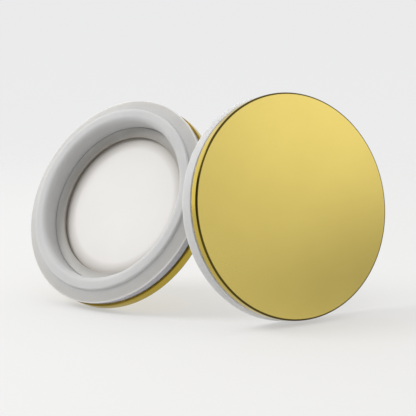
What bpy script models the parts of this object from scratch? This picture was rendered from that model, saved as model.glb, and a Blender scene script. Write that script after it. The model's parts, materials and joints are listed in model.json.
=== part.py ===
"""Round coin capsule in two halves, each standing on its edge and leaning back.

Each half is a shallow gold-coloured metal pan (the cover) with a white liner
disc in it, a translucent body ring held by the pan's rolled rim, a frosted
seal ring whose skirt plugs into the body ring, and a loose seat ring that the
coin's edge drops into. The base half shows its open side, with a round lip that
stands up; the lid half shows its metal face, and its seal ring has the socket
that takes the lip when the halves are closed.

Each half is drawn in its own frame: the cover's outer face is the plane z = 0
and +Z is the way the half opens. Row frame: +X right, +Y away, +Z up, with the
origin on the ground below the middle of the two halves.
"""
import math

import bmesh
import bpy
from mathutils import Matrix, Vector

MM = 0.001
SEGMENTS = 64                    # facets round every turned piece

# Driving dimensions
COVER_RADIUS = 30.0 * MM         # capsule, outside of the metal
COVER_HEIGHT = 2.7 * MM          # face to the end of the rolled rim
SHEET = 0.45 * MM                # sheet metal of the cover
HEM_WIDTH = 0.8 * MM             # rolled rim, across
HEM_HEIGHT = 0.45 * MM           # rolled rim, along the axis
FACE_FILLET = 0.5 * MM           # rounding between the face and the side wall
RIM_FILLET = 0.4 * MM            # rounding of the rolled rim
COIN_RADIUS = 20.3 * MM          # the 40.6 mm coin that the seat ring takes
LIP_BORE_RADIUS = 23.1 * MM      # mouth of the seal ring
LIP_RADIUS = 26.75 * MM          # outside of the base's standing lip
HALF_HEIGHT = 8.1 * MM           # cover face to the top of the lip
GAP = 0.2 * MM                   # between pieces stacked on each other
SIDE_GAP = 0.25 * MM             # between pieces that sit inside each other

# Heights of the stack, from the cover's outer face
LINER_BOTTOM = SHEET + GAP
LINER_TOP = LINER_BOTTOM + 0.6 * MM
STACK_BOTTOM = LINER_TOP + GAP
BASE_BODY_TOP = 4.8 * MM         # the base's body ring shows as a band above the metal
LID_BODY_TOP = 3.2 * MM          # the lid's is only a thin line there
SEAT_TOP = 3.2 * MM
SEAT_EDGE = 2.65 * MM
BASE_SHOULDER = 6.1 * MM         # outer edge of the base seal ring's cone
BASE_CREASE = 7.35 * MM          # inner edge of that cone, at the lip's foot
LID_RIM = 7.3 * MM               # top of the lid seal ring
SOCKET_FLOOR = 5.75 * MM         # the base's lip goes down towards this

# Radii
COVER_INSIDE = COVER_RADIUS - SHEET
HEM_INSIDE = COVER_RADIUS - HEM_WIDTH
BODY_FOOT = COVER_INSIDE - SIDE_GAP
BODY_NECK = HEM_INSIDE - SIDE_GAP
BODY_BAND = COVER_RADIUS - 0.6 * MM
SKIRT_OUTSIDE = 24.3 * MM
BODY_BORE = SKIRT_OUTSIDE + SIDE_GAP
SKIRT_INSIDE = LIP_BORE_RADIUS - 0.1 * MM
SEAT_RADIUS = SKIRT_INSIDE - 0.35 * MM
SOCKET_RADIUS = LIP_RADIUS + 0.35 * MM

# Stance of the two halves: the way each opens, as a heading in the ground plane
# measured from -Y towards +X, and how far that way points above the horizon
BASE_HEADING = -37.2
BASE_RISE = 26.0
LID_HEADING = 180.0 + 31.0
LID_RISE = -11.0
LID_FROM_BASE = Vector((46.2 * MM, -26.9 * MM, 0.0))


def opening_direction(heading, rise):
    """Unit vector of the way a half opens."""
    heading, rise = math.radians(heading), math.radians(rise)
    level = math.cos(rise)
    return Vector((level * math.sin(heading), -level * math.cos(heading), math.sin(rise)))


def reach(outline, direction, axis, sign):
    """Furthest that a turned outline reaches from its half's origin along one axis, either way."""
    across = math.sqrt(1.0 - direction[axis] ** 2)
    return max(sign * point.y * direction[axis] + point.x * across for point in outline)


def stance():
    """Cover-face centre and opening direction of the base and of the lid, in the row frame."""
    base_way = opening_direction(BASE_HEADING, BASE_RISE)
    lid_way = opening_direction(LID_HEADING, LID_RISE)
    base_outline = rounded(cover_corners()) + rounded(base_seal_corners())
    lid_outline = rounded(cover_corners()) + rounded(lid_seal_corners())
    middle = Vector((0.0, 0.0, 0.0))
    for axis in (0, 1):
        ends = []
        for sign in (-1, 1):
            base_end = reach(base_outline, base_way, axis, sign)
            lid_end = sign * LID_FROM_BASE[axis] + reach(lid_outline, lid_way, axis, sign)
            ends.append(sign * max(base_end, lid_end))
        middle[axis] = sum(ends) / 2
    base_up = Vector((0.0, 0.0, reach(base_outline, base_way, 2, -1)))
    lid_up = Vector((0.0, 0.0, reach(lid_outline, lid_way, 2, -1)))
    return (base_up - middle, base_way), (LID_FROM_BASE + lid_up - middle, lid_way)


def half_frame(name, centre, way):
    """Empty at the centre of a half's cover face, with +Z along its opening direction."""
    empty = bpy.data.objects.new(name, None)
    bpy.context.collection.objects.link(empty)
    empty.matrix_world = Matrix.Translation(centre) @ way.to_track_quat("Z", "Y").to_matrix().to_4x4()
    return empty


def rounded(corners, steps=3):
    """Outline points from (radius, height, fillet) corners, each fillet drawn as an arc."""
    points = []
    count = len(corners)
    for index, (radius, height, fillet) in enumerate(corners):
        corner = Vector((radius, height))
        if fillet == 0.0:
            points.append(corner)
            continue
        before = (Vector(corners[index - 1][:2]) - corner).normalized()
        after = (Vector(corners[(index + 1) % count][:2]) - corner).normalized()
        half_angle = before.angle(after) / 2
        centre = corner + (before + after).normalized() * (fillet / math.sin(half_angle))
        start = corner + before * (fillet / math.tan(half_angle)) - centre
        end = corner + after * (fillet / math.tan(half_angle)) - centre
        sweep = start.angle_signed(end)
        for step in range(steps + 1):
            turn = Matrix.Rotation(-sweep * step / steps, 2)
            points.append(centre + turn @ start)
    return points


def turned(name, corners, frame, material, closed=True):
    """Object turned about its half's axis from an outline; closed=False runs axis to axis."""
    outline = rounded(corners)
    shape = bmesh.new()
    verts = [shape.verts.new((point.x, 0.0, point.y)) for point in outline]
    edges = [shape.edges.new(pair) for pair in zip(verts, verts[1:])]
    if closed:
        edges.append(shape.edges.new((verts[-1], verts[0])))
    bmesh.ops.spin(
        shape, geom=verts + edges, cent=(0, 0, 0), axis=(0, 0, 1),
        angle=math.tau, steps=SEGMENTS, use_merge=True, use_duplicate=False,
    )
    bmesh.ops.remove_doubles(shape, verts=shape.verts, dist=0.001 * MM)
    bmesh.ops.recalc_face_normals(shape, faces=shape.faces)
    mesh = bpy.data.meshes.new(name)
    shape.to_mesh(mesh)
    shape.free()
    mesh.shade_smooth()
    mesh.set_sharp_from_angle(angle=math.radians(35))
    mesh.materials.append(material)
    piece = bpy.data.objects.new(name, mesh)
    bpy.context.collection.objects.link(piece)
    piece.parent = frame
    return piece


def finish(name, colour, roughness, metallic=0.0, transmission=0.0):
    """Principled material."""
    material = bpy.data.materials.new(name)
    material.use_nodes = True
    shader = material.node_tree.nodes["Principled BSDF"]
    shader.inputs["Base Color"].default_value = (*colour, 1.0)
    shader.inputs["Roughness"].default_value = roughness
    shader.inputs["Metallic"].default_value = metallic
    shader.inputs["Transmission Weight"].default_value = transmission
    return material


def cover_corners():
    """Sheet-metal pan: flat face, small shoulder, side wall and a rim rolled inwards."""
    hem_foot = COVER_HEIGHT - HEM_HEIGHT
    return [
        (0.0, 0.0, 0.0),
        (COVER_RADIUS, 0.0, FACE_FILLET),
        (COVER_RADIUS, COVER_HEIGHT, RIM_FILLET),
        (HEM_INSIDE, COVER_HEIGHT, 0.0),
        (HEM_INSIDE, hem_foot, 0.0),
        (COVER_INSIDE, hem_foot, 0.0),
        (COVER_INSIDE, SHEET, 0.0),
        (0.0, SHEET, 0.0),
    ]


def liner_corners():
    """White disc that lies in the pan under the body ring."""
    radius = BODY_FOOT - 0.3 * MM
    return [
        (0.0, LINER_BOTTOM, 0.0),
        (radius, LINER_BOTTOM, 0.0),
        (radius, LINER_TOP, 0.0),
        (0.0, LINER_TOP, 0.0),
    ]


def body_corners(top):
    """Ring whose foot is caught under the pan's rolled rim and whose band shows above it."""
    foot_top = COVER_HEIGHT - HEM_HEIGHT - 0.22 * MM
    band_bottom = COVER_HEIGHT + SIDE_GAP
    return [
        (BODY_BORE, STACK_BOTTOM, 0.0),
        (BODY_FOOT, STACK_BOTTOM, 0.0),
        (BODY_FOOT, foot_top, 0.0),
        (BODY_NECK, foot_top, 0.0),
        (BODY_NECK, band_bottom, 0.0),
        (BODY_BAND, band_bottom, 0.0),
        (BODY_BAND, top, 0.0),
        (BODY_BORE, top, 0.0),
    ]


def skirt_corners(bottom, edge):
    """Inner part of both seal rings: down the bore, round the skirt and out to the edge."""
    return [
        (SKIRT_INSIDE, STACK_BOTTOM, 0.0),
        (SKIRT_OUTSIDE, STACK_BOTTOM, 0.0),
        (SKIRT_OUTSIDE, bottom, 0.0),
        (edge, bottom, 0.0),
    ]


def base_seal_corners():
    """Base seal ring: flared edge, sloping shoulder, then a lip with a softly rounded mouth."""
    return [
        *skirt_corners(BASE_BODY_TOP + GAP, 29.6 * MM),
        (30.3 * MM, BASE_SHOULDER, 0.4 * MM),
        (LIP_RADIUS + 0.15 * MM, BASE_CREASE, 0.0),
        (LIP_RADIUS - 0.1 * MM, HALF_HEIGHT, 0.5 * MM),
        (LIP_BORE_RADIUS, HALF_HEIGHT, 1.6 * MM),
    ]


def lid_seal_corners():
    """Lid seal ring: plain outer wall, and a socket in its top for the base's lip."""
    return [
        *skirt_corners(LID_BODY_TOP + GAP, COVER_RADIUS - 0.05 * MM),
        (30.1 * MM, LID_RIM, 0.5 * MM),
        (SOCKET_RADIUS, LID_RIM, 0.3 * MM),
        (SOCKET_RADIUS, SOCKET_FLOOR, 0.0),
        (LIP_BORE_RADIUS, SOCKET_FLOOR, 0.5 * MM),
    ]


def seat_corners():
    """Loose seat ring whose bore is the coin's diameter, with a slightly dished top."""
    return [
        (COIN_RADIUS, STACK_BOTTOM, 0.0),
        (SEAT_RADIUS, STACK_BOTTOM, 0.0),
        (SEAT_RADIUS, SEAT_TOP, 0.0),
        (COIN_RADIUS, SEAT_EDGE, 0.0),
    ]


def build_half(side, frame, body_top, seal_outline, finishes):
    """All pieces of one half."""
    turned(f"{side}_cover", cover_corners(), frame, finishes["gold"], closed=False)
    turned(f"{side}_liner", liner_corners(), frame, finishes["white"], closed=False)
    turned(f"{side}_body_ring", body_corners(body_top), frame, finishes["clear"])
    turned(f"{side}_seal_ring", seal_outline, frame, finishes["frosted"])
    turned(f"{side}_seat_ring", seat_corners(), frame, finishes["frosted"])


def main():
    for thing in list(bpy.data.objects):
        bpy.data.objects.remove(thing, do_unlink=True)
    finishes = {
        "gold": finish("gold_anodised", (0.56, 0.44, 0.10), 0.3, metallic=1.0),
        "white": finish("white_board", (0.86, 0.86, 0.84), 0.7),
        "clear": finish("translucent_plastic", (0.52, 0.53, 0.57), 0.3, transmission=0.3),
        "frosted": finish("frosted_silicone", (0.68, 0.68, 0.67), 0.5, transmission=0.15),
    }
    base, lid = stance()
    build_half("base", half_frame("base_frame", *base), BASE_BODY_TOP, base_seal_corners(), finishes)
    build_half("lid", half_frame("lid_frame", *lid), LID_BODY_TOP, lid_seal_corners(), finishes)


main()
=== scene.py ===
"""Looks for the open coin capsule: two round halves standing on their edges.

Every piece is turned again, finely, about its half's axis, from the sizes of the
CAD node that it stands for, and gets its own procedural material.
"""
import json
import math

import bmesh
import bpy
from mathutils import Matrix, Vector


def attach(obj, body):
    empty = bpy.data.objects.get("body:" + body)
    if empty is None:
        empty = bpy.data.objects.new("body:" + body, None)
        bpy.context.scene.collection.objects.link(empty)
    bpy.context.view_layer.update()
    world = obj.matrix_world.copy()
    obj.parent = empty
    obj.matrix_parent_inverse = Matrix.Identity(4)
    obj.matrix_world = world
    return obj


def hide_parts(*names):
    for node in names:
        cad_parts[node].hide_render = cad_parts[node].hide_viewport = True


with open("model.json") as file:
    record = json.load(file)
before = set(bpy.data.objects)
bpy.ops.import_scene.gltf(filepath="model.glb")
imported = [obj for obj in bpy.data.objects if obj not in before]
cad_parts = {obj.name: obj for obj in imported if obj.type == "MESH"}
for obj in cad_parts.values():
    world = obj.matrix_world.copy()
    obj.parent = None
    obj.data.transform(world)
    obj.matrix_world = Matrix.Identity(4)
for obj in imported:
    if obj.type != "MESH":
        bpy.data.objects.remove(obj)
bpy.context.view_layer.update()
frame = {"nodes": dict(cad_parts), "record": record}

MM = 0.001
TURN_STEPS = 256                 # facets round every turned piece
FILLET_STEPS = 10                # facets round every small rounding
SMOOTH_ANGLE = math.radians(30)  # facets that meet at less than this are shaded smooth
MERGE_DISTANCE = 0.001 * MM      # points closer than this are one point
HALF_PLACE = "half_place"        # attribute with a vertex's place in its half's frame

# Roundings that several pieces share
CRISP = 0.05 * MM
FINE = 0.1 * MM
SMALL = 0.15 * MM
SOFT = 0.3 * MM
ROUND = 0.5 * MM

# Covers: the sheet, and the rim rolled inwards and down
SHEET = 0.45 * MM
HEM_WIDTH = 0.8 * MM
HEM_HEIGHT = 0.45 * MM
SHEET_FILLET = 0.12 * MM         # free edges of the sheet metal and of the liner
RIM_FILLET = 0.4 * MM
PAN_FILLET = 0.2 * MM            # inside, where the face meets the wall

# Body rings, inwards from the cover's outside and up or down from its rim
NECK_INSET = 1.05 * MM
FOOT_INSET = 0.7 * MM
FOOT_DROP = 0.67 * MM
BAND_GAP = 0.25 * MM

# Seal rings
SKIRT_GAP = 0.25 * MM            # between the skirt and the body ring
SEAL_GAP = 0.2 * MM              # between the seal ring's underside and the body ring
LIP_INSET = 3.25 * MM            # lip's outside, inwards from the cover's outside
LIP_TAPER = 0.1 * MM
CREASE_WIDTH = 0.15 * MM
CREASE_DROP = 0.75 * MM          # crease between cone and lip, below the lip's top
CREASE_FILLET = 0.25 * MM
SHOULDER_DROP = 2.0 * MM         # cone's outer edge, below the lip's top
SHOULDER_OVERHANG = 0.3 * MM     # and past the cover's outside
SHOULDER_FILLET = 0.4 * MM
BASE_SEAL_INSET = 0.4 * MM       # underside of the base's seal ring, inside the cover's outside
LIP_CROWN = 1.6 * MM             # large rounding of the lip towards the cavity
SOCKET_WIDTH = 3.0 * MM
SOCKET_DEPTH = 1.55 * MM
LID_SEAL_TAPER = 0.15 * MM

# Seat rings
SEAT_GAP = 0.05 * MM         # the top stops this far short of the seal ring
SEAT_SLOPE = 0.55 * MM           # the top falls this far towards the bore

# Where a material's tone changes: radii or heights in the half's frame, from and to. These spans lay
# painted light and shade: painted reflections on the gold wall, a painted highlight and painted shade
# on the base's seal ring, painted shade on the seat ring and the liner.
FACE_EDGE = (29.45 * MM, 29.62 * MM)
SHOULDER_PAINTED_REFLECTION = (0.34 * MM, 0.50 * MM)
RIM_PAINTED_REFLECTION = (2.42 * MM, 2.60 * MM)
CONE_PAINTED_SHADE = (26.6 * MM, 29.8 * MM)
PAINTED_HIGHLIGHT_EDGE = (29.72 * MM, 29.86 * MM)
SEAL_OUTSIDE = (28.0 * MM, 28.5 * MM)
UNDERSIDE_PAINTED_SHADE = (5.78 * MM, 5.98 * MM)
SEAT_PAINTED_SHADE = (20.4 * MM, 22.9 * MM)
BORE_PAINTED_SHADOW = (1.9 * MM, 2.6 * MM)
LINER_PAINTED_SHADE = (16.9 * MM, 20.2 * MM)

# Parts of a noise that a material's tones or its roughness are laid over
TONE_SPAN = (0.25, 0.75)
GOLD_SPAN = (0.30, 0.72)
NOISE_SPAN = (0.3, 0.7)

# Studio: distances in metres, angles in degrees, light levels of the world
FLOOR_FULL = 0.16                # the floor is whole out to here
FLOOR_END = 0.6                  # and has faded out here
FLOOR_GLOW = 0.44                # keeps the floor pale and the shadows on it weak
ROOM_LIGHT = 0.90
TOP_LIGHT = 1.0
FRONT_RIGHT_LIGHT = 0.62
RIGHT_LOW_LIGHT = 0.14
RIGHT_LIGHT = 1.14
REAR_LEFT_LIGHT = 1.35
FRONT_LEFT_LIGHT = 0.20
BACKDROP_LOW = 0.870
BACKDROP_HIGH = 0.832
WORLD_COLOUR = (0.995, 0.995, 1.0, 1.0)
KEY_DIRECTION = (-0.775, -0.05, 0.625)
KEY_DISTANCE = 0.8
KEY_SIZE = 0.32
KEY_POWER = 3.4
KEY_AIM = (0, 0, 0.03)           # middle of the object
CAMERA_PLACE = (1.6 * MM, -328.1 * MM, 75.0 * MM)
CAMERA_DROP = 8.15               # how far below the horizon it looks
CAMERA_SENSOR = 36.0
CAMERA_LENS = 104.3


# ---------------------------------------------------------------- the frame

def half_frame(side):
    """Matrix with its origin at the middle of a half's cover face and +Z along its opening."""
    mounts = {mount["name"]: mount for mount in frame["record"]["mounts"]}
    way = -Vector(mounts[f"{side}_face"]["axis"]).normalized()
    turn = way.to_track_quat("Z", "Y").to_matrix()
    cover_verts = frame["nodes"][f"{side}_cover"].data.vertices
    points = [turn.transposed() @ vert.co for vert in cover_verts]
    lows, highs = (
        [pick(point[axis] for point in points) for axis in range(3)] for pick in (min, max)
    )
    centre = Vector([(lows[0] + highs[0]) / 2, (lows[1] + highs[1]) / 2, lows[2]])
    return Matrix.Translation(turn @ centre) @ turn.to_4x4()


class Size:
    """Radii and heights of a CAD node in its half's frame."""

    def __init__(self, side, node, placed):
        inverse = placed.inverted()
        points = [inverse @ vert.co for vert in frame["nodes"][f"{side}_{node}"].data.vertices]
        radii = [math.hypot(point.x, point.y) for point in points]
        self.inner = min(radii)
        self.outer = max(radii)
        self.low = min(point.z for point in points)
        self.high = max(point.z for point in points)


# ---------------------------------------------------------------- turning

def rounded(corners):
    """Outline points from (radius, height, fillet) corners, each fillet drawn as an arc."""
    points = []
    count = len(corners)
    for index, (radius, height, fillet) in enumerate(corners):
        corner = Vector((radius, height))
        if fillet == 0.0:
            points.append(corner)
            continue
        before = (Vector(corners[index - 1][:2]) - corner).normalized()
        after = (Vector(corners[(index + 1) % count][:2]) - corner).normalized()
        half_angle = before.angle(after) / 2
        centre = corner + (before + after).normalized() * (fillet / math.sin(half_angle))
        start = corner + before * (fillet / math.tan(half_angle)) - centre
        end = corner + after * (fillet / math.tan(half_angle)) - centre
        sweep = start.angle_signed(end)
        for step in range(FILLET_STEPS + 1):
            turn = Matrix.Rotation(-sweep * step / FILLET_STEPS, 2)
            points.append(centre + turn @ start)
    return points


def add_to_scene(name, data):
    holder = bpy.data.objects.new(name, data)
    bpy.context.scene.collection.objects.link(holder)
    return holder


def keep_coordinates(mesh):
    """Stores every vertex's place in its half's frame, which the materials are laid out in."""
    places = mesh.attributes.new(HALF_PLACE, "FLOAT_VECTOR", "POINT")
    places.data.foreach_set("vector", [value for vert in mesh.vertices for value in vert.co])


def turned(name, corners, placed, material, closed=True):
    """Object turned about its half's axis from an outline; closed=False runs axis to axis."""
    outline = rounded(corners)
    shape = bmesh.new()
    verts = [shape.verts.new((point.x, 0.0, point.y)) for point in outline]
    edges = [shape.edges.new(pair) for pair in zip(verts, verts[1:])]
    if closed:
        edges.append(shape.edges.new((verts[-1], verts[0])))
    bmesh.ops.spin(
        shape, geom=verts + edges, cent=(0, 0, 0), axis=(0, 0, 1),
        angle=math.tau, steps=TURN_STEPS, use_merge=True, use_duplicate=False,
    )
    bmesh.ops.remove_doubles(shape, verts=shape.verts, dist=MERGE_DISTANCE)
    bmesh.ops.recalc_face_normals(shape, faces=shape.faces)
    mesh = bpy.data.meshes.new(name)
    shape.to_mesh(mesh)
    shape.free()
    keep_coordinates(mesh)
    mesh.transform(placed)
    mesh.shade_smooth()
    mesh.set_sharp_from_angle(angle=SMOOTH_ANGLE)
    mesh.materials.append(material)
    return add_to_scene(name, mesh)


# ---------------------------------------------------------------- materials

class Nodes:
    """Helper round a node tree; a value is a number or another node's output."""

    def __init__(self, tree):
        self.tree = tree

    def node(self, kind, **settings):
        made = self.tree.nodes.new(kind)
        for key, value in settings.items():
            setattr(made, key, value)
        return made

    def feed(self, value, socket):
        if isinstance(value, float):
            socket.default_value = value
        else:
            self.tree.links.new(value, socket)

    def maths(self, operation, *values):
        node = self.node("ShaderNodeMath", operation=operation)
        for value, socket in zip(values, node.inputs):
            self.feed(value, socket)
        return node.outputs["Value"]

    def change(self, source, span, first=0.0, last=1.0, interpolation="SMOOTHSTEP"):
        """Goes from first to last while the source goes through the span."""
        node = self.node("ShaderNodeMapRange", interpolation_type=interpolation)
        sockets = ("From Min", "From Max", "To Min", "To Max")
        for socket, value in zip(sockets, (*span, first, last)):
            node.inputs[socket].default_value = value
        self.feed(source, node.inputs["Value"])
        return node.outputs["Result"]

    def mix(self, factor, first, second):
        """First value where the factor is 0, second where it is 1."""
        node = self.node("ShaderNodeMix")
        for name, value in (("Factor", factor), ("A", first), ("B", second)):
            self.feed(value, node.inputs[name])
        return node.outputs["Result"]


class Shader(Nodes):
    """A Principled material's nodes, laid out in the half's frame."""

    def __init__(self, name):
        self.material = bpy.data.materials.new(name)
        self.material.use_nodes = True
        super().__init__(self.material.node_tree)
        self.principled = self.tree.nodes["Principled BSDF"]
        self.place = self.node("ShaderNodeAttribute", attribute_name=HALF_PLACE).outputs["Vector"]

    def set(self, **values):
        """Constant shader inputs, with spaces written as underscores."""
        for key, value in values.items():
            self.principled.inputs[key.replace("_", " ")].default_value = value

    def mapped(self, scale):
        mapping = self.node("ShaderNodeMapping")
        mapping.inputs["Scale"].default_value = scale
        self.feed(self.place, mapping.inputs["Vector"])
        return mapping.outputs["Vector"]

    def noise(self, scale, stretch=(1, 1, 1), detail=4.0):
        texture = self.node("ShaderNodeTexNoise")
        texture.inputs["Scale"].default_value = scale
        texture.inputs["Detail"].default_value = detail
        texture.inputs["Roughness"].default_value = 0.55
        self.feed(self.mapped(stretch), texture.inputs["Vector"])
        return texture.outputs["Fac"]

    def voronoi(self, scale):
        texture = self.node("ShaderNodeTexVoronoi")
        texture.inputs["Scale"].default_value = scale
        self.feed(self.mapped((1, 1, 1)), texture.inputs["Vector"])
        return texture.outputs["Distance"]

    def tones(self, noise, dark, light, span=TONE_SPAN):
        """Colour between two tones, laid over a span of the noise."""
        ramp = self.node("ShaderNodeValToRGB")
        for element, position, colour in zip(ramp.color_ramp.elements, span, (dark, light)):
            element.position = position
            element.color = (*colour, 1.0)
        self.feed(noise, ramp.inputs["Fac"])
        return ramp.outputs["Color"]

    def spread(self, noise, low, high):
        """Noise mapped on to low..high."""
        return self.change(noise, NOISE_SPAN, low, high, "LINEAR")

    def rise(self, source, span):
        """0 below the span, 1 above it."""
        return self.change(source, span, 0.0, 1.0, "LINEAR")

    def fall(self, source, span):
        """1 below the span, 0 above it."""
        return self.change(source, span, 1.0, 0.0, "LINEAR")

    def mix_colours(self, factor, first, second):
        """First colour where the factor is 0, second where it is 1."""
        mixed = self.node("ShaderNodeMix", data_type="RGBA")
        sockets = [socket for socket in mixed.inputs if socket.enabled]
        for value, socket in zip((factor, first, second), sockets):
            self.feed(value, socket)
        return [socket for socket in mixed.outputs if socket.enabled][0]

    def split_place(self):
        split = self.node("ShaderNodeSeparateXYZ")
        self.feed(self.place, split.inputs["Vector"])
        return split.outputs

    def height(self):
        """Height above the cover's outer face, in metres."""
        return self.split_place()["Z"]

    def radius(self):
        """Distance from the half's axis, in metres."""
        place = self.split_place()
        flat = self.node("ShaderNodeCombineXYZ")
        self.feed(place["X"], flat.inputs["X"])
        self.feed(place["Y"], flat.inputs["Y"])
        length = self.node("ShaderNodeVectorMath", operation="LENGTH")
        self.feed(flat.outputs["Vector"], length.inputs[0])
        return length.outputs["Value"]

    def bump(self, heights, strength, distance):
        """Bump from a list of height outputs, chained."""
        normal = None
        for height in heights:
            bump = self.node("ShaderNodeBump")
            bump.inputs["Strength"].default_value = strength
            bump.inputs["Distance"].default_value = distance
            self.feed(height, bump.inputs["Height"])
            if normal is not None:
                self.feed(normal, bump.inputs["Normal"])
            normal = bump.outputs["Normal"]
        self.feed(normal, self.principled.inputs["Normal"])

    def colour(self, output):
        self.feed(output, self.principled.inputs["Base Color"])

    def rough(self, output):
        self.feed(output, self.principled.inputs["Roughness"])


def gold_metal():
    """Satin face with a fine straight grain; painted darker reflections give a deeper side, a dark
    shoulder and a brown rolled rim.
    """
    shader = Shader("gold_metal")
    shader.set(Metallic=1.0)
    cloud = shader.noise(45.0, detail=3.0)
    grain = shader.noise(2400.0, stretch=(0.02, 1.0, 1.0), detail=2.0)
    speck = shader.noise(5200.0, detail=2.0)
    radius = shader.radius()
    height = shader.height()
    edge = shader.rise(radius, FACE_EDGE)
    face = shader.tones(cloud, (0.81, 0.64, 0.175), (0.855, 0.68, 0.19), GOLD_SPAN)
    # The wall's tones are painted reflection: the side darker than the face, a near-black line at the
    # shoulder and brown at the rolled rim.
    side = shader.tones(cloud, (0.48, 0.36, 0.045), (0.53, 0.40, 0.058), GOLD_SPAN)
    shoulder = shader.tones(cloud, (0.060, 0.044, 0.007), (0.085, 0.063, 0.011), GOLD_SPAN)
    rim = shader.tones(cloud, (0.27, 0.175, 0.022), (0.31, 0.205, 0.030), GOLD_SPAN)
    wall = shader.mix_colours(shader.rise(height, SHOULDER_PAINTED_REFLECTION), shoulder, side)
    wall = shader.mix_colours(shader.rise(height, RIM_PAINTED_REFLECTION), wall, rim)
    shader.colour(shader.mix_colours(edge, face, wall))
    satin = shader.spread(grain, 0.235, 0.25)
    polish = shader.spread(speck, 0.13, 0.17)
    shader.rough(shader.mix(edge, satin, polish))
    shader.bump([grain, speck], strength=0.02, distance=0.001 * MM)
    return shader.material


def silicone(name, low, high):
    """Milky silicone, grey from low to high: shader, noise and tone, with the colour left open."""
    shader = Shader(name)
    shader.set(Subsurface_Weight=0.8, Subsurface_Scale=2.4 * MM, Subsurface_Radius=(1.0, 0.97, 0.92))
    shader.set(Specular_IOR_Level=0.35, IOR=1.41)
    cloud = shader.noise(90.0, detail=3.0)
    skin = shader.noise(1400.0, detail=4.0)
    tone = shader.tones(cloud, (low, low, low), (high, high, high * 0.99))
    shader.rough(shader.spread(skin, 0.42, 0.56))
    shader.bump([skin], strength=0.06, distance=0.01 * MM)
    return shader, cloud, tone


def lid_silicone():
    """The lid's ring is one even tone."""
    shader, _, tone = silicone("frosted_silicone_lid", 0.54, 0.58)
    shader.colour(tone)
    return shader.material


def base_silicone():
    """The base's ring gets painted shade that greys it out along its cone and on its blue-grey
    underside, and a painted highlight along its pale edge.
    """
    shader, cloud, tone = silicone("frosted_silicone_base", 0.50, 0.54)
    # The next tone is painted shade, greying the cone towards its outer edge.
    grey = shader.tones(cloud, (0.485, 0.475, 0.450), (0.525, 0.515, 0.490))
    # The next tone is a painted highlight along the seal ring's outer edge.
    pale = shader.tones(cloud, (0.60, 0.59, 0.59), (0.66, 0.65, 0.65))
    # The next tone is painted blue-grey shade on the seal ring's underside.
    underside_painted_shade = shader.tones(cloud, (0.31, 0.30, 0.32), (0.37, 0.36, 0.38))
    radius = shader.radius()
    height = shader.height()
    tone = shader.mix_colours(shader.rise(radius, CONE_PAINTED_SHADE), tone, grey)
    tone = shader.mix_colours(shader.rise(radius, PAINTED_HIGHLIGHT_EDGE), tone, pale)
    outside = shader.rise(radius, SEAL_OUTSIDE)
    low = shader.fall(height, UNDERSIDE_PAINTED_SHADE)
    shader.colour(shader.mix_colours(shader.maths("MULTIPLY", outside, low), tone, underside_painted_shade))
    return shader.material


def frosted_plastic():
    """Translucent moulded plastic of the seat ring, with painted shade: darker towards its bore and
    brown down it.
    """
    shader = Shader("frosted_plastic")
    shader.set(Subsurface_Weight=0.6, Subsurface_Scale=1.2 * MM, Subsurface_Radius=(1.0, 0.96, 0.90))
    shader.set(Specular_IOR_Level=0.35)
    cloud = shader.noise(120.0, detail=3.0)
    skin = shader.noise(1800.0, detail=3.0)
    outer = shader.tones(cloud, (0.46, 0.45, 0.43), (0.51, 0.50, 0.48))
    # The inner tone is painted shade, darkening the top towards the bore.
    inner = shader.tones(cloud, (0.31, 0.295, 0.270), (0.36, 0.345, 0.320))
    # The bore tone is a painted dark brown shadow down the bore.
    bore = shader.tones(cloud, (0.16, 0.135, 0.105), (0.20, 0.172, 0.140))
    tone = shader.mix_colours(shader.fall(shader.radius(), SEAT_PAINTED_SHADE), outer, inner)
    shader.colour(shader.mix_colours(shader.fall(shader.height(), BORE_PAINTED_SHADOW), tone, bore))
    shader.rough(shader.spread(skin, 0.42, 0.54))
    shader.bump([skin], strength=0.1, distance=0.015 * MM)
    return shader.material


def clear_plastic():
    """Blue-grey translucent plastic of the body ring."""
    shader = Shader("clear_plastic")
    shader.set(Subsurface_Weight=0.4, Subsurface_Scale=1.5 * MM, Subsurface_Radius=(0.9, 0.95, 1.0))
    shader.set(Specular_IOR_Level=0.5)
    cloud = shader.noise(150.0, stretch=(1, 1, 3), detail=3.0)
    skin = shader.noise(1500.0, detail=2.0)
    shader.colour(shader.tones(cloud, (0.40, 0.40, 0.43), (0.46, 0.46, 0.49)))
    shader.rough(shader.spread(skin, 0.24, 0.34))
    shader.bump([skin], strength=0.05, distance=0.015 * MM)
    return shader.material


def white_liner():
    """Matt white foamed sheet with a fine closed-cell skin, and painted shade that darkens it towards
    its margin all round.
    """
    shader = Shader("white_liner")
    shader.set(Specular_IOR_Level=0.25)
    cells = shader.voronoi(1500.0)
    cloud = shader.noise(70.0, detail=4.0)
    middle = shader.tones(cloud, (0.775, 0.757, 0.735), (0.805, 0.787, 0.765))
    # The margin tone is painted shade, darkening the liner all round towards its edge.
    margin = shader.tones(cloud, (0.47, 0.44, 0.405), (0.52, 0.49, 0.455))
    shader.colour(shader.mix_colours(shader.rise(shader.radius(), LINER_PAINTED_SHADE), middle, margin))
    shader.rough(shader.spread(cloud, 0.62, 0.74))
    shader.bump([cells, cloud], strength=0.1, distance=0.02 * MM)
    return shader.material


# ---------------------------------------------------------------- the pieces

# Each outline's corners are (radius, height, rounding).

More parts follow.
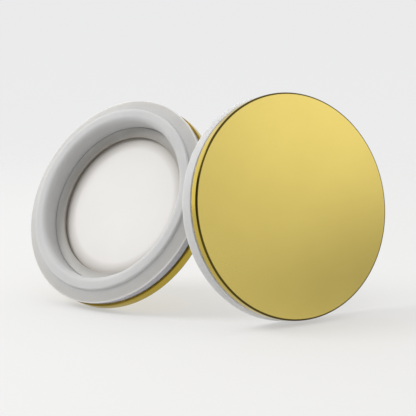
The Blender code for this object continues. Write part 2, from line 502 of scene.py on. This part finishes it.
def cover(side, placed, material):
    size = Size(side, "cover", placed)
    hem = size.outer - HEM_WIDTH
    hem_foot = size.high - HEM_HEIGHT
    inside = size.outer - SHEET
    corners = [
        (0.0, 0.0, 0.0),
        (size.outer, 0.0, ROUND),
        (size.outer, size.high, RIM_FILLET),
        (hem, size.high, SHEET_FILLET),
        (hem, hem_foot, FINE),
        (inside, hem_foot, CRISP),
        (inside, SHEET, PAN_FILLET),
        (0.0, SHEET, 0.0),
    ]
    return turned(f"{side}_cover_metal", corners, placed, material, closed=False)


def liner(side, placed, material):
    size = Size(side, "liner", placed)
    corners = [
        (0.0, size.low, 0.0),
        (size.outer, size.low, SHEET_FILLET),
        (size.outer, size.high, SHEET_FILLET),
        (0.0, size.high, 0.0),
    ]
    return turned(f"{side}_liner_disc", corners, placed, material, closed=False)


def body_ring(side, placed, material):
    size = Size(side, "body_ring", placed)
    metal = Size(side, "cover", placed)
    neck = metal.outer - NECK_INSET
    foot = metal.outer - FOOT_INSET
    foot_top = metal.high - FOOT_DROP
    band_bottom = metal.high + BAND_GAP
    band_edge = min(SMALL, (size.high - band_bottom) / 3)    # the lid's band is thinner
    corners = [
        (size.inner, size.low, FINE),
        (foot, size.low, SMALL),
        (foot, foot_top, CRISP),
        (neck, foot_top, CRISP),
        (neck, band_bottom, CRISP),
        (size.outer, band_bottom, band_edge),
        (size.outer, size.high, band_edge),
        (size.inner, size.high, FINE),
    ]
    return turned(f"{side}_body_ring_moulding", corners, placed, material)


def skirt(size, body):
    """First corners of both seal rings: the skirt that plugs into the body ring."""
    outside = body.inner - SKIRT_GAP
    return [
        (size.inner, size.low, SOFT),
        (outside, size.low, SOFT),
        (outside, body.high + SEAL_GAP, FINE),
    ]


def base_seal(placed, material):
    """Ring with a sloping cone and a standing lip."""
    size = Size("base", "seal_ring", placed)
    body = Size("base", "body_ring", placed)
    metal = Size("base", "cover", placed)
    lip = metal.outer - LIP_INSET
    corners = [
        *skirt(size, body),
        (metal.outer - BASE_SEAL_INSET, body.high + SEAL_GAP, FINE),
        (metal.outer + SHOULDER_OVERHANG, size.high - SHOULDER_DROP, SHOULDER_FILLET),
        (lip + CREASE_WIDTH, size.high - CREASE_DROP, CREASE_FILLET),
        (lip - LIP_TAPER, size.high, ROUND),
        (size.inner + LIP_TAPER, size.high, LIP_CROWN),
    ]
    return turned("base_seal_moulding", corners, placed, material)


def lid_seal(placed, material):
    """Ring with a socket that takes the base's lip."""
    size = Size("lid", "seal_ring", placed)
    body = Size("lid", "body_ring", placed)
    socket = size.outer - SOCKET_WIDTH
    socket_floor = size.high - SOCKET_DEPTH
    corners = [
        *skirt(size, body),
        (size.outer - LID_SEAL_TAPER, body.high + SEAL_GAP, FINE),
        (size.outer, size.high, ROUND),
        (socket, size.high, SOFT),
        (socket, socket_floor, SMALL),
        (size.inner + LIP_TAPER, socket_floor, ROUND),
    ]
    return turned("lid_seal_moulding", corners, placed, material)


def seat_ring(side, placed, material):
    """Loose ring; its top reaches out to the seal ring's bore, past its CAD node, to close the slit."""
    size = Size(side, "seat_ring", placed)
    reach = Size(side, "seal_ring", placed).inner - SEAT_GAP
    corners = [
        (size.inner, size.low, FINE),
        (size.outer, size.low, SMALL),
        (reach, size.high, CRISP),
        (size.inner, size.high - SEAT_SLOPE, SOFT),
    ]
    return turned(f"{side}_seat_ring_moulding", corners, placed, material)


def stand_for(piece, body, node):
    """Puts a piece in a CAD node's place, hiding the node, and on its body."""
    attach(piece, body)
    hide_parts(node)


def make_half(side, finishes):
    placed = half_frame(side)
    seal = {"base": base_seal, "lid": lid_seal}[side]
    metal = cover(side, placed, finishes["gold_metal"])
    disc = liner(side, placed, finishes["white_liner"])
    body = body_ring(side, placed, finishes["clear_plastic"])
    plug = seal(placed, finishes[f"{side}_silicone"])
    seat = seat_ring(side, placed, finishes["frosted_plastic"])
    stand_for(metal, side, f"{side}_cover")
    stand_for(disc, side, f"{side}_liner")
    stand_for(body, side, f"{side}_body_ring")
    stand_for(plug, f"{side}_seal", f"{side}_seal_ring")
    stand_for(seat, f"{side}_seat", f"{side}_seat_ring")


# ---------------------------------------------------------------- the studio

def make_floor():
    """Pale floor that fades into the backdrop all round."""
    bpy.ops.mesh.primitive_circle_add(vertices=128, radius=FLOOR_END, fill_type="NGON")
    floor = bpy.context.object
    floor.name = "floor"
    keep_coordinates(floor.data)
    shader = Shader("floor_paper")
    shader.set(Roughness=0.9, Specular_IOR_Level=0.1)
    shader.set(Emission_Color=(1.0, 0.995, 0.985, 1.0), Emission_Strength=FLOOR_GLOW)
    cloud = shader.noise(3.0, detail=2.0)
    shader.colour(shader.tones(cloud, (0.352, 0.352, 0.350), (0.358, 0.358, 0.356), NOISE_SPAN))
    fade = shader.change(shader.radius(), (FLOOR_FULL, FLOOR_END), 1.0, 0.0)
    shader.feed(fade, shader.principled.inputs["Alpha"])
    floor.data.materials.append(shader.material)


class Sky(Nodes):
    """Light by direction: azimuth from -Y towards +X, and height above the horizon, in degrees."""

    def __init__(self, tree):
        super().__init__(tree)
        coordinates = self.node("ShaderNodeTexCoord")
        split = self.node("ShaderNodeSeparateXYZ")
        self.feed(coordinates.outputs["Generated"], split.inputs["Vector"])
        ahead = self.maths("MULTIPLY", split.outputs["Y"], -1.0)
        self.azimuth = self.maths("DEGREES", self.maths("ARCTAN2", split.outputs["X"], ahead))
        self.height = self.maths("DEGREES", self.maths("ARCSINE", split.outputs["Z"]))

    def panel(self, level, value, azimuth, height):
        """Level with a soft-edged panel over it; an edge is (where it starts, where it is full)."""
        cover = None
        for source, edges in ((self.azimuth, azimuth), (self.height, height)):
            for edge in edges:
                step = self.change(source, edge)
                cover = step if cover is None else self.maths("MULTIPLY", cover, step)
        return self.mix(cover, level, value)


def make_world():
    """Soft room: bright, dimmer at the front right, dark at the front left and low at the right.

    The camera sees a plain backdrop in its place.
    """
    world = bpy.data.worlds.new("studio")
    bpy.context.scene.world = world
    world.use_nodes = True
    sky = Sky(world.node_tree)
    level = sky.change(sky.height, (20.0, 60.0), ROOM_LIGHT, TOP_LIGHT)
    level = sky.panel(level, FRONT_RIGHT_LIGHT, [(-12, 0), (72, 56)], [(45, 20)])
    right = sky.change(sky.height, (-1.0, 15.5), RIGHT_LOW_LIGHT, RIGHT_LIGHT)
    level = sky.panel(level, right, [(54, 68), (150, 130)], [(45, 20)])
    level = sky.panel(level, REAR_LEFT_LIGHT, [(-165, -150), (-108, -118)], [(-18, -8), (50, 35)])
    level = sky.panel(level, FRONT_LEFT_LIGHT, [(-117, -108), (-8, -22)], [(44, 26)])
    backdrop = sky.change(sky.height, (-16.0, 2.0), BACKDROP_LOW, BACKDROP_HIGH)
    seen = sky.node("ShaderNodeLightPath").outputs["Is Camera Ray"]
    background = world.node_tree.nodes["Background"]
    background.inputs["Color"].default_value = WORLD_COLOUR
    sky.feed(sky.mix(seen, level, backdrop), background.inputs["Strength"])


def make_key_light():
    """Square area light at the upper left, pointing at the object."""
    light = bpy.data.lights.new("key", "AREA")
    light.size = KEY_SIZE
    light.energy = KEY_POWER
    holder = add_to_scene("key", light)
    direction = Vector(KEY_DIRECTION).normalized()
    holder.location = direction * KEY_DISTANCE + Vector(KEY_AIM)
    holder.rotation_euler = direction.to_track_quat("Z", "Y").to_euler()


def make_camera():
    """Camera a third of a metre in front of the object, a little above it, looking slightly down."""
    camera = bpy.data.cameras.new("camera")
    camera.sensor_width = CAMERA_SENSOR
    camera.lens = CAMERA_LENS
    holder = add_to_scene("camera", camera)
    holder.location = CAMERA_PLACE
    holder.rotation_euler = (math.radians(90 - CAMERA_DROP), 0.0, 0.0)
    bpy.context.scene.camera = holder


finishes = {
    "gold_metal": gold_metal(),
    "white_liner": white_liner(),
    "clear_plastic": clear_plastic(),
    "base_silicone": base_silicone(),
    "lid_silicone": lid_silicone(),
    "frosted_plastic": frosted_plastic(),
}
make_half("base", finishes)
make_half("lid", finishes)
make_floor()
make_world()
make_key_light()
make_camera()
bpy.context.scene.view_settings.view_transform = "Standard"
